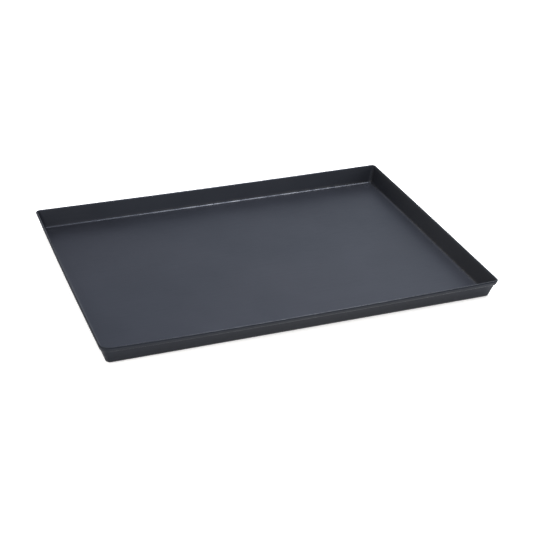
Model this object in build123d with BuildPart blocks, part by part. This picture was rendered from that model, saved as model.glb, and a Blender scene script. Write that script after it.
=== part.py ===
from build123d import *
from math import cos, radians, tan
import os

# Shallow baking tray with flared walls, formed from one sheet of blued steel.
# The floor is flat, the walls lean outwards and meet in rounded corners, and the
# rim is stiffened by a flat hem: the sheet's edge folded outwards and pressed back
# down against the outside of the wall.
# +X runs along the length, +Y along the width and +Z up. The origin is the middle
# of the floor's underside. All sizes are in millimetres, angles in degrees.

# Driving dimensions
LENGTH = 400.0              # over the rim, along X
WIDTH = 300.0               # over the rim, along Y
HEIGHT = 20.0               # from the underside of the floor to the top of the rim
SHEET = 1.0                 # thickness of the steel sheet
WALL_LEAN = 16.0            # angle that each wall leans out from upright
BEND_RADIUS = 2.0           # inside the bend between the floor and a wall
RIM_CORNER_RADIUS = 5.5     # in plan, round the outside of the hem at the rim
BASE_CORNER_RADIUS = 4.2    # in plan, round the outside of the wall at the floor
HEM_DEPTH = 4.5             # from the top of the rim down to the hem's free edge
HEM_GAP = 0.2               # slit left between the wall and the folded-down hem
FOLD_FULLNESS = 0.92        # share of the hem's half thickness that its top is rounded by

# The hem
HEM_THICKNESS = 2 * SHEET + HEM_GAP
FOLD_RADIUS = FOLD_FULLNESS * HEM_THICKNESS / 2
HEM_BOTTOM = HEIGHT - HEM_DEPTH
FOLD_UNDERSIDE = HEIGHT - SHEET - HEM_GAP / 2

# Thicknesses measured level, across the leaning wall
LEVEL_SHEET = SHEET / cos(radians(WALL_LEAN))
LEVEL_GAP = HEM_GAP / cos(radians(WALL_LEAN))
HEM_OUTSET = LEVEL_GAP + LEVEL_SHEET

# How far the fold would reach past the rim if its top edge were sharp
SHARP_FOLD_REACH = FOLD_RADIUS * (tan(radians(WALL_LEAN)) + 1 / cos(radians(WALL_LEAN)) - 1)

# Outside of the wall, in plan: its growth from the floor to the rim
WALL_FLARE = HEIGHT * tan(radians(WALL_LEAN))
FLOOR_LENGTH = LENGTH - 2 * (WALL_FLARE + HEM_OUTSET - SHARP_FOLD_REACH)
FLOOR_WIDTH = WIDTH - 2 * (WALL_FLARE + HEM_OUTSET - SHARP_FOLD_REACH)
CORNER_GROWTH = RIM_CORNER_RADIUS - HEM_OUTSET - BASE_CORNER_RADIUS


def flared_block(bottom, top, outset):
    """Solid between two heights, with sides parallel to the walls' outside faces."""
    with BuildPart() as block:
        for height in (bottom, top):
            share = height / HEIGHT
            growth = 2 * (share * WALL_FLARE + outset)
            radius = BASE_CORNER_RADIUS + share * CORNER_GROWTH + outset
            with BuildSketch(Plane.XY.offset(height)):
                RectangleRounded(FLOOR_LENGTH + growth, FLOOR_WIDTH + growth, radius)
        loft(ruled=True)
    return block.part


# The tray: one sheet that makes the floor, the four walls and the hem round the rim
with BuildPart() as tray_pan:
    add(flared_block(HEM_BOTTOM, HEIGHT, HEM_OUTSET))
    add(flared_block(HEM_BOTTOM, FOLD_UNDERSIDE, LEVEL_GAP), mode=Mode.SUBTRACT)
    add(flared_block(0, HEIGHT, 0))
    add(flared_block(SHEET, HEIGHT, -LEVEL_SHEET), mode=Mode.SUBTRACT)

    # Bends between the floor and the walls
    underside = tray_pan.faces().filter_by(Axis.Z).sort_by(Axis.Z)[0]
    fillet(underside.edges(), BEND_RADIUS + SHEET)
    floor_top = tray_pan.faces().filter_by(Axis.Z).sort_by(Axis.Z)[1]
    fillet(floor_top.edges(), BEND_RADIUS)

    # Rounded top of the hem's fold
    rim_top = tray_pan.faces().filter_by(Axis.Z).sort_by(Axis.Z)[-1]
    fillet(rim_top.edges(), FOLD_RADIUS)

tray_pan.part.label = "tray_pan"

os.makedirs("parts", exist_ok=True)
export_step(tray_pan.part, "parts/tray_pan.step")
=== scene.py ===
from math import cos, exp, pi, radians, sin, tan

import bmesh
import bpy
from mathutils import Matrix, Vector


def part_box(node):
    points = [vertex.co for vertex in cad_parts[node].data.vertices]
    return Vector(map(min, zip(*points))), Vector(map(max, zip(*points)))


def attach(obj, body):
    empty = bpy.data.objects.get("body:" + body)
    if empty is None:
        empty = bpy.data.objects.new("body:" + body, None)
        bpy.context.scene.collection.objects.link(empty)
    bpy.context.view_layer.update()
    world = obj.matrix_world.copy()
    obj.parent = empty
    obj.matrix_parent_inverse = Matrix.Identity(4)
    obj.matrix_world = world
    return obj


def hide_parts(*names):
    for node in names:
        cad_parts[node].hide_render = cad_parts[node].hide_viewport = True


# A shallow baking tray with flared walls, formed from one sheet of blued steel.
# Everything is in metres, in the CAD model's frame: +X along the tray, +Y across it,
# +Z up, with the origin in the middle of the underside. The tray's near side is at -Y.

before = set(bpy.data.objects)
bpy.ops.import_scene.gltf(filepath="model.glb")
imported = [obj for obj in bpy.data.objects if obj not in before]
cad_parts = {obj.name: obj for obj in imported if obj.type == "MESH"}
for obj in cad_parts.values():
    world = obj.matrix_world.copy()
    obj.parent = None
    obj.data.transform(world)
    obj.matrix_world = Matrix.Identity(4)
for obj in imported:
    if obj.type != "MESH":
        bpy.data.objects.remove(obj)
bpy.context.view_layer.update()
tray_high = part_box("tray_pan")[1]

MM = 0.001

# The sheet and its folds, the same sizes as the CAD model's
HALF_LENGTH = tray_high.x
HALF_WIDTH = tray_high.y
HEIGHT = tray_high.z
SHEET = 1.0 * MM
WALL_LEAN = radians(16)
BEND_RADIUS = 2.0 * MM
RIM_CORNER_RADIUS = 5.5 * MM
BASE_CORNER_RADIUS = 4.2 * MM
HEM_DEPTH = 4.5 * MM
HEM_GAP = 0.2 * MM

# The thin walls' springback: how far each rim dips and bulges between its corners
FRONT_RIM_DIP = 0.9 * MM
FRONT_RIM_BULGE = 1.6 * MM
BACK_RIM_DIP = 1.5 * MM
BACK_RIM_BULGE = 1.3 * MM
END_RIM_DIP = 0.35 * MM
END_RIM_BULGE = 0.7 * MM
LEFT_RECOVERY = 0.09            # share of the front rim over which it rises to the left corner
RIGHT_RECOVERY = 0.27           # the same, to the right corner

# The corners are formed one by one, and the near left one came out rounder at its rim
LEFT_RIM_ROUNDER = 4.0 * MM

FLOOR_CROWN = 0.2 * MM          # rise of the floor's middle
FLOOR_WAVE = 0.05 * MM          # height of the sheet's slight waves

# Those waves: radians per metre along X and along Y, start in radians, and strength
WAVES = [(41, 3, 1.3, 1.0), (-9, 47, 0.4, 0.7)]

# Wear with painted highlight, and painted shade, as shares of the most that any point has
LEAST_WEAR_AND_HIGHLIGHT = 0.2                # wear and painted highlight of the edges at the tray's left end
FULL_WEAR_AND_HIGHLIGHT_FROM = 0.6            # share of the length, from the left, past which wear and painted highlight are full
WORN_AND_HIGHLIT_FOLD_PLACE = 0.38          # where the fold is most rubbed and painted lighter, along its arc from the inside
WORN_AND_HIGHLIT_FOLD_BREADTH = 0.17        # how widely it is rubbed and painted lighter there, along the same arc
BEND_WEAR_AND_HIGHLIGHT = 0.7                 # wear and painted highlight of the inside bend and the hem's edge
UNDERSIDE_WEAR = 0.3            # wear of the outside bend, which slides on shelves
OUTSIDE_UPSET = 0.5             # roughness of the corners' outsides
CORNER_PAINTED_SHADE = 0.7               # painted shade inside the corners, darker to hide a bright line there

# Mesh density
LONG_STEPS = 64
SHORT_STEPS = 48
CORNER_STEPS = 10
BEND_STEPS = 8
FOLD_STEPS = 14
WALL_STEPS = 8
FLOOR_INSET = 8 * MM            # from the walls' outline on the ground in to the floor's grid


# ---------------------------------------------------------------- the tray's mesh

def across(along, out):
    """Profile point at a distance up the wall and out from its outside face.

    Its first number is level, outwards from the outline where the walls' outside
    faces meet the ground, and its second is the height."""
    return (along * sin(WALL_LEAN) + out * cos(WALL_LEAN),
            along * cos(WALL_LEAN) - out * sin(WALL_LEAN))


def arc(centre, radius, start, end, steps):
    """Points on an arc of the profile, from one angle to another."""
    angles = (start + (end - start) * i / steps for i in range(steps + 1))
    return [(centre[0] + radius * cos(a), centre[1] + radius * sin(a)) for a in angles]


def between(start, end, steps):
    """Points between two profile points, without the points themselves."""
    shares = [i / steps for i in range(1, steps)]
    return [tuple(a + (b - a) * s for a, b in zip(start, end)) for s in shares]


def tray_profile():
    """Section through wall and hem, from the floor's top round the rim to its underside.

    Returns its points, how much wear and painted highlight each has, and its reach beyond the
    outline."""
    fold_radius = SHEET + HEM_GAP / 2
    fold_along = (HEIGHT - fold_radius + HEM_GAP / 2 * sin(WALL_LEAN)) / cos(WALL_LEAN)
    fold_centre = across(fold_along, HEM_GAP / 2)
    edge_along = (HEIGHT - HEM_DEPTH + HEM_GAP * sin(WALL_LEAN)) / cos(WALL_LEAN)
    edge_round = 0.3 * SHEET
    bend_outside = BEND_RADIUS + SHEET
    bend_centre = (-bend_outside * tan((pi / 2 - WALL_LEAN) / 2), bend_outside)
    support = 0.4 * MM

    inner_bend = arc(bend_centre, BEND_RADIUS, -pi / 2, -WALL_LEAN, BEND_STEPS)
    fold = arc(fold_centre, fold_radius, pi - WALL_LEAN, -WALL_LEAN, FOLD_STEPS)
    outer_edge = [across(edge_along + edge_round, HEM_GAP + SHEET)]
    outer_edge += arc(across(edge_along + edge_round, HEM_GAP + SHEET - edge_round),
                      edge_round, -WALL_LEAN, -WALL_LEAN - pi / 2, 3)[1:]
    inner_edge = arc(across(edge_along + edge_round, HEM_GAP + edge_round),
                     edge_round, -WALL_LEAN - pi / 2, -WALL_LEAN - pi, 3)
    slit_top = arc(fold_centre, HEM_GAP / 2, -WALL_LEAN, pi - WALL_LEAN, 4)
    wall_under_hem = across(edge_along, 0)
    outer_bend = arc(bend_centre, bend_outside, -WALL_LEAN, -pi / 2, BEND_STEPS)

    runs = [([(bend_centre[0] - support, SHEET)], 0.0),
            (inner_bend, BEND_WEAR_AND_HIGHLIGHT),
            (between(inner_bend[-1], fold[0], WALL_STEPS), 0.0),
            (fold, None),
            (between(fold[-1], outer_edge[0], 3), 0.0),
            (outer_edge, BEND_WEAR_AND_HIGHLIGHT),
            (inner_edge + between(inner_edge[-1], slit_top[0], 3) + slit_top, 0.0),
            (between(slit_top[-1], wall_under_hem, 3) + [wall_under_hem], 0.0),
            (between(wall_under_hem, outer_bend[0], WALL_STEPS), 0.0),
            (outer_bend + [(bend_centre[0] - support, 0)], UNDERSIDE_WEAR)]
    points = [point for run, _ in runs for point in run]
    places = [i / FOLD_STEPS for i in range(FOLD_STEPS + 1)]
    crest = [exp(-((place - WORN_AND_HIGHLIT_FOLD_PLACE) / WORN_AND_HIGHLIT_FOLD_BREADTH) ** 2) for place in places]
    exposure = []
    for run, share in runs:
        exposure += crest if share is None else [share] * len(run)
    return points, exposure, fold_centre[0] + fold_radius


# The corners, from the far right one round by the left, and the side after each one
SIGNS = [(1, 1), (-1, 1), (-1, -1), (1, -1)]
STEPS = [LONG_STEPS, SHORT_STEPS, LONG_STEPS, SHORT_STEPS]


def corner_point(half_x, half_y, radii, k, quarter_turns):
    """Point on the k-th corner's arc, in plan."""
    signs, radius, angle = SIGNS[k % 4], radii[k % 4], quarter_turns * pi / 2
    return Vector((signs[0] * (half_x - radius) + radius * cos(angle),
                   signs[1] * (half_y - radius) + radius * sin(angle)))


def front_dip(share):
    """Dip of the front rim: quick to build up from the left corner, slow from the right."""
    return (1 - exp(-share / LEFT_RECOVERY)) * (1 - exp(-(1 - share) / RIGHT_RECOVERY))


def springback(side, share):
    """How far the rim of a side dips and bulges at a share of the side's length.

    The sides go round from the back one, at +Y, through the left and front to the right."""
    swell = sin(pi * share)
    if side == 0:
        return BACK_RIM_DIP * swell, BACK_RIM_BULGE * swell
    if side == 2:
        return FRONT_RIM_DIP * front_dip(share) / front_dip(0.3), FRONT_RIM_BULGE * swell
    return END_RIM_DIP * swell, END_RIM_BULGE * swell


def loop_points(half_x, half_y, radius, height):
    """One loop of the mesh: a rounded rectangle at a height, with the walls' springback."""
    points = []
    rise = height / HEIGHT
    near_left = radius + LEFT_RIM_ROUNDER * rise if radius else 0
    radii = [radius, radius, near_left, radius]
    for k in range(4):
        for j in range(CORNER_STEPS + 1):
            flat = corner_point(half_x, half_y, radii, k, k + j / CORNER_STEPS)
            points.append(Vector((flat.x, flat.y, height)))
        start = corner_point(half_x, half_y, radii, k, k + 1)
        end = corner_point(half_x, half_y, radii, k + 1, k + 1)
        outwards = Vector((cos((k + 1) * pi / 2), sin((k + 1) * pi / 2)))
        for j in range(1, STEPS[k]):
            dip, bulge = springback(k, j / STEPS[k])
            flat = start.lerp(end, j / STEPS[k]) + outwards * bulge * rise
            points.append(Vector((flat.x, flat.y, height - dip * rise)))
    return points


def floor_height(x, y, half_x, half_y):
    """Slight crown and waves of the flat floor, none at its edges."""
    edge = (1 - (x / half_x) ** 2) * (1 - (y / half_y) ** 2)
    waves = sum(strength * (1 + sin(along_x * x + along_y * y + start)) / 2
                for along_x, along_y, start, strength in WAVES)
    return edge * (FLOOR_CROWN + FLOOR_WAVE * waves)


def wear_and_highlight_along(x):
    """How much wear and painted highlight the edges have along the tray: least at the left, most
    at the right.
    """
    share = min(1, max(0, (x + HALF_LENGTH) / (2 * HALF_LENGTH * FULL_WEAR_AND_HIGHLIGHT_FROM)))
    eased = share * share * (3 - 2 * share)
    return LEAST_WEAR_AND_HIGHLIGHT + (1 - LEAST_WEAR_AND_HIGHLIGHT) * eased


def corner_bells():
    """One number for each point of a loop: 1 in the middle of the corners, 0 on the sides."""
    bells = []
    for k in range(4):
        bells += [sin(pi * j / CORNER_STEPS) ** 0.5 for j in range(CORNER_STEPS)]
        bells += [0.0] * STEPS[k]
    return bells


class TrayMesh:
    """The tray's points and faces, with each point's wear and painted highlight, upset and
    painted shade.

    Upset is how much rougher the metal is at the formed corners than elsewhere."""

    def __init__(self):
        self.points = []
        self.faces = []
        self.wear_and_highlight = []
        self.upset = []
        self.painted_shade = []

    def add_loop(self, points, exposure, outside):
        """Adds a loop of points, on the outside or the inside, and returns their numbers."""
        first = len(self.points)
        self.points += points
        # wear and painted highlight, rising towards the right
        self.wear_and_highlight += [exposure * wear_and_highlight_along(point.x) for point in points]
        self.upset += [bell * (OUTSIDE_UPSET if outside else 1.0) for bell in corner_bells()]
        # painted shade: full on the outside, and partly in the inside corners
        self.painted_shade += [1.0 if outside else CORNER_PAINTED_SHADE * bell for bell in corner_bells()]
        return range(first, first + len(points))

    def join_loops(self, inner, outer):
        """Adds the faces between two loops."""
        for i in range(len(inner)):
            j = (i + 1) % len(inner)
            self.faces.append((inner[i], inner[j], outer[j], outer[i]))

    def add_floor(self, half_x, half_y, level, upwards):
        """Adds the grid of the floor's top, which faces upwards, or of its underside."""
        first = len(self.points)
        for j in range(SHORT_STEPS + 1):
            for i in range(LONG_STEPS + 1):
                x = half_x * (2 * i / LONG_STEPS - 1)
                y = half_y * (2 * j / SHORT_STEPS - 1)
                self.points.append(Vector((x, y, level + floor_height(x, y, half_x, half_y))))
                self.wear_and_highlight.append(0.0)
                self.upset.append(0.0)
                # painted shade on the underside, none on the floor's top
                self.painted_shade.append(0.0 if upwards else 1.0)
        for j in range(SHORT_STEPS):
            for i in range(LONG_STEPS):
                a = first + j * (LONG_STEPS + 1) + i
                b = a + LONG_STEPS + 1
                self.faces.append((a, a + 1, b + 1, b) if upwards else (a, b, b + 1, a + 1))

    def finish(self, name):
        """The object made of these points and faces, placed in the scene."""
        mesh = bpy.data.meshes.new(name)
        mesh.from_pydata(self.points, [], self.faces)
        for share, values in (("wear_and_highlight", self.wear_and_highlight), ("upset", self.upset), ("painted_shade", self.painted_shade)):
            mesh.attributes.new(share, "FLOAT", "POINT").data.foreach_set("value", values)
        piece = bpy.data.objects.new(name, mesh)
        bpy.context.scene.collection.objects.link(piece)
        join_and_smooth(mesh)
        return piece


def build_tray():
    """The tray: loops from the floor's top round the rim to the underside, and two floors."""
    profile, exposure, reach = tray_profile()
    base_x = HALF_LENGTH - reach - END_RIM_BULGE
    base_y = HALF_WIDTH - reach - FRONT_RIM_BULGE
    floor_x, floor_y = base_x - FLOOR_INSET, base_y - FLOOR_INSET
    growth = RIM_CORNER_RADIUS - (HEM_GAP + SHEET) / cos(WALL_LEAN) - BASE_CORNER_RADIUS

    tray = TrayMesh()
    loops = [tray.add_loop(loop_points(floor_x, floor_y, 0, SHEET), 0.0, False)]
    for (out, up), share in zip(profile, exposure):
        outset = out - up * tan(WALL_LEAN)
        radius = BASE_CORNER_RADIUS + up / HEIGHT * growth + outset
        outside = outset > -SHEET / 2 or up < SHEET / 2
        points = loop_points(base_x + out, base_y + out, radius, up)
        loops.append(tray.add_loop(points, share, outside))
    loops.append(tray.add_loop(loop_points(floor_x, floor_y, 0, 0), 0.0, True))
    for inner, outer in zip(loops, loops[1:]):
        tray.join_loops(inner, outer)
    tray.add_floor(floor_x, floor_y, SHEET, True)
    tray.add_floor(floor_x, floor_y, 0, False)
    return tray.finish("tray_pan_steel")


def join_and_smooth(mesh):
    """Joins the loops to the floors, and shades every face smooth."""
    shape = bmesh.new()
    shape.from_mesh(mesh)
    bmesh.ops.remove_doubles(shape, verts=shape.verts, dist=1e-7)
    bmesh.ops.dissolve_degenerate(shape, edges=shape.edges, dist=1e-8)
    bmesh.ops.recalc_face_normals(shape, faces=shape.faces)
    for face in shape.faces:
        face.smooth = True
    shape.to_mesh(mesh)
    shape.free()


# ---------------------------------------------------------------- the steel

class Recipe:
    """Small helper that adds texture nodes to a material."""

    def __init__(self, name):
        self.material = bpy.data.materials.new(name)
        self.material.use_nodes = True
        self.nodes = self.material.node_tree.nodes
        self.links = self.material.node_tree.links
        self.shader = self.nodes["Principled BSDF"]
        self.place = self.nodes.new("ShaderNodeTexCoord").outputs["Object"]

    def noise(self, scale, detail, stretch=(1, 1, 1)):
        """Noise in the tray's own space; a stretch below 1 lengthens it along that axis."""
        mapping = self.nodes.new("ShaderNodeMapping")
        mapping.inputs["Scale"].default_value = stretch
        texture = self.nodes.new("ShaderNodeTexNoise")
        texture.inputs["Scale"].default_value = scale
        texture.inputs["Detail"].default_value = detail
        self.links.new(self.place, mapping.inputs["Vector"])
        self.links.new(mapping.outputs["Vector"], texture.inputs["Vector"])
        return texture.outputs["Fac"]

    def attribute(self, name):
        """One of the numbers that the mesh holds for each point."""
        node = self.nodes.new("ShaderNodeAttribute")
        node.attribute_name = name
        return node.outputs["Fac"]

    def spread(self, value, start, end, low, high):
        """A value's range from start to end, mapped on to low to high and held there."""
        node = self.nodes.new("ShaderNodeMapRange")
        for name, number in zip(("From Min", "From Max", "To Min", "To Max"),
                                (start, end, low, high)):
            node.inputs[name].default_value = number
        self.links.new(value, node.inputs["Value"])
        return node.outputs["Result"]

    def sums(self, operation, first, second):
        """Two values added, subtracted or multiplied."""
        node = self.nodes.new("ShaderNodeMath")
        node.operation = operation
        self.links.new(first, node.inputs[0])
        self.links.new(second, node.inputs[1])
        return node.outputs["Value"]

    def blend(self, share, first, second):
        """Mixes two colours, each one a colour or another node's output."""
        node = self.nodes.new("ShaderNodeMix")
        node.data_type = "RGBA"
        self.links.new(share, node.inputs["Factor"])
        for socket, colour in ((node.inputs["A"], first), (node.inputs["B"], second)):
            if isinstance(colour, tuple):
                socket.default_value = (*colour, 1)
            else:
                self.links.new(colour, socket)
        return node.outputs["Result"]

    def bump(self, height, strength, depth):
        """Relief of a depth in metres, which a later relief or the shader builds on."""
        node = self.nodes.new("ShaderNodeBump")
        node.inputs["Strength"].default_value = strength
        node.inputs["Distance"].default_value = depth
        self.links.new(height, node.inputs["Height"])
        return node


def blued_steel():
    """Cold-rolled sheet with a blue-black oxide skin, lighter along its edges with wear and
    painted highlight, and darkened outside and in the corners by painted shade.
    """
    dark_oxide = (0.0290, 0.0330, 0.0440)
    light_oxide = (0.0350, 0.0390, 0.0510)
    bloomed_oxide = (0.0370, 0.0375, 0.0470)
    rolled_oxide = (0.0260, 0.0295, 0.0390)
    specked_oxide = (0.050, 0.053, 0.060)
    # painted shade: darkens the tray's outside and its inside corners
    painted_shade_oxide = (0.012, 0.014, 0.019)
    # lighter steel for worn edges, which also paints highlights on the fold and the bends
    worn_and_highlit_steel = (0.060, 0.063, 0.070)

    steel = Recipe("blued_steel")
    steel.shader.inputs["Metallic"].default_value = 0.83
    steel.shader.inputs["IOR"].default_value = 1.4
    clouds = steel.noise(14, 4)
    bloom = steel.noise(5, 2)
    grain = steel.noise(900, 3, (0.06, 1, 1))
    streaks = steel.noise(260, 2, (0.02, 1, 1))
    specks = steel.noise(620, 2)
    smears = steel.noise(30, 5, (1, 0.5, 1))
    chips = steel.noise(160, 4)

    # Oxide colour: cloudy from the tempering heat, with faint rolling streaks and specks
    oxide = steel.blend(steel.spread(clouds, 0.3, 0.7, 0, 1), dark_oxide, light_oxide)
    oxide = steel.blend(steel.spread(bloom, 0.4, 0.75, 0, 0.35), oxide, bloomed_oxide)
    oxide = steel.blend(steel.spread(streaks, 0.55, 0.75, 0, 0.18), oxide, rolled_oxide)
    oxide = steel.blend(steel.spread(specks, 0.70, 0.76, 0, 0.2), oxide, specked_oxide)

    # Painted shade: darker outside, which the glowing studio floor would light too much, and in
    # the corners, where a bright line would show. It is set by measured colours.
    painted_shade = steel.attribute("painted_shade")
    oxide = steel.blend(steel.spread(painted_shade, 0, 1, 0, 0.88), oxide, painted_shade_oxide)

    # Wear and painted highlight: the skin is rubbed thinner along the fold, the hem's edge and
    # the bends, and the lighter steel there also paints their highlights
    worn_and_highlit = steel.sums("MULTIPLY", steel.attribute("wear_and_highlight"),
                        steel.spread(chips, 0.35, 0.65, 0.2, 1))
    steel.links.new(steel.blend(worn_and_highlit, oxide, worn_and_highlit_steel), steel.shader.inputs["Base Color"])

    # Roughness: satin, with the grain, soft smears, smooth rubbed edges and rough corners
    satin = steel.sums("ADD", steel.spread(grain, 0.3, 0.7, 0.36, 0.43),
                       steel.spread(smears, 0.3, 0.7, -0.02, 0.03))
    satin = steel.sums("SUBTRACT", satin, steel.spread(worn_and_highlit, 0, 1, 0, 0.2))
    satin = steel.sums("ADD", satin, steel.spread(steel.attribute("upset"), 0, 1, 0, 0.35))
    steel.links.new(satin, steel.shader.inputs["Roughness"])

    # Relief: the sheet's faint unevenness, and the mill grain on top of it
    unevenness = steel.bump(smears, 0.15, 0.15 * MM)
    relief = steel.bump(grain, 0.06, 0.05 * MM)
    steel.links.new(unevenness.outputs["Normal"], relief.inputs["Normal"])
    steel.links.new(relief.outputs["Normal"], steel.shader.inputs["Normal"])
    return steel.material


# ---------------------------------------------------------------- floor, light and camera

def matt_white(name, brightness, glow):
    """A matt white sheet, lit softly from below as on a light table."""
    material = bpy.data.materials.new(name)
    material.use_nodes = True
    shader = material.node_tree.nodes["Principled BSDF"]
    shader.inputs["Base Color"].default_value = (brightness, brightness, brightness, 1)
    shader.inputs["Roughness"].default_value = 0.9
    shader.inputs["Specular IOR Level"].default_value = 0.1
    shader.inputs["Emission Color"].default_value = (1, 1, 1, 1)
    shader.inputs["Emission Strength"].default_value = glow
    return material


def add_floor():
    """A wide white floor, a hair below the tray so that the two faces don't coincide."""
    reach = 6
    level = -0.05 * MM
    mesh = bpy.data.meshes.new("studio_floor")
    corners = [(-reach, -reach, level), (reach, -reach, level),
               (reach, reach, level), (-reach, reach, level)]
    mesh.from_pydata(corners, [], [(0, 1, 2, 3)])
    floor = bpy.data.objects.new("studio_floor", mesh)
    floor.data.materials.append(matt_white("studio_white", 0.92, 0.45))
    bpy.context.scene.collection.objects.link(floor)


def add_softbox(name, place, target, size, power, colour=(1, 1, 1)):
    """A rectangular studio light, aimed from its place at a target."""
    light = bpy.data.lights.new(name, "AREA")
    light.shape = "RECTANGLE"
    light.size, light.size_y = size
    light.energy = power
    light.color = colour
    lamp = bpy.data.objects.new(name, light)
    lamp.location = place
    lamp.rotation_euler = (Vector(target) - Vector(place)).to_track_quat("-Z", "Y").to_euler()
    bpy.context.scene.collection.objects.link(lamp)


def add_world(glows):
    """Surroundings made of soft glows, each with its direction, tightness and colour."""
    world = bpy.data.worlds.new("studio")
    world.use_nodes = True
    nodes, links = world.node_tree.nodes, world.node_tree.links
    direction = nodes.new("ShaderNodeTexCoord").outputs["Generated"]
    total = None
    for towards, tightness, colour in glows:
        facing = nodes.new("ShaderNodeVectorMath")
        facing.operation = "DOT_PRODUCT"
        facing.inputs[1].default_value = Vector(towards).normalized()
        links.new(direction, facing.inputs[0])
        half = nodes.new("ShaderNodeMath")
        half.operation = "MULTIPLY_ADD"
        half.inputs[1].default_value = 0.5
        half.inputs[2].default_value = 0.5
        links.new(facing.outputs["Value"], half.inputs[0])
        share = nodes.new("ShaderNodeMath")
        share.operation = "POWER"
        share.inputs[1].default_value = tightness
        links.new(half.outputs["Value"], share.inputs[0])
        glow = nodes.new("ShaderNodeVectorMath")
        glow.operation = "MULTIPLY_ADD"
        glow.inputs[1].default_value = colour
        links.new(share.outputs["Value"], glow.inputs[0])
        if total is not None:
            links.new(total, glow.inputs[2])
        total = glow.outputs["Vector"]
    links.new(total, nodes["Background"].inputs["Color"])
    bpy.context.scene.world = world


def add_camera():
    """Camera with a long lens, above the tray and in front of it, a little to the left."""
    azimuth, elevation, roll = radians(-20.12), radians(28.04), radians(1.09)
    distance = 1.31
    target = Vector((0.0112, 0, -0.0083))
    back = Vector((sin(azimuth) * cos(elevation), -cos(azimuth) * cos(elevation), sin(elevation)))
    camera = bpy.data.cameras.new("camera")
    camera.sensor_width = 36
    camera.lens = 85.80
    eye = bpy.data.objects.new("camera", camera)
    eye.location = back * distance
    turn = (target - eye.location).to_track_quat("-Z", "Y").to_matrix()
    eye.rotation_euler = (turn @ Matrix.Rotation(roll, 3, "Z")).to_euler()
    bpy.context.scene.collection.objects.link(eye)
    bpy.context.scene.camera = eye


tray = build_tray()
tray.data.materials.append(blued_steel())
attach(tray, "root")
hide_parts("tray_pan")

add_floor()
add_camera()
bpy.context.scene.view_settings.view_transform = "Standard"
add_world([((0, -0.6, 0.8), 4, (0.42, 0.42, 0.45)),        # above, for views from all round
           ((0, 1, 0), 1, (0.57, 0.59, 0.69)),             # broad and cool, from behind
           ((0.85, 0.45, 0.3), 12, (1.02, 1.12, 1.08)),    # on the right, for the floor
           ((0.3, -0.95, 0.1), 12, (0.72, 0.72, 0.66)),    # low in front, for the back wall
           ((-0.75, 0.65, 0.05), 24, (0.8, 0.7, 0.4)),     # two low on the left, warm,
           ((-0.95, -0.3, 0.1), 24, (3.0, 2.7, 1.9))])     # for the right wall
add_softbox("overhead_softbox", (0.52, 0.3, 1.5), (0.52, 0.3, 0), (0.5, 1.5), 27)
add_softbox("fill_softbox", (-2.0, -1.5, 2.2), (0, 0, 0), (1.5, 1.5), 50, (1, 0.98, 0.96))
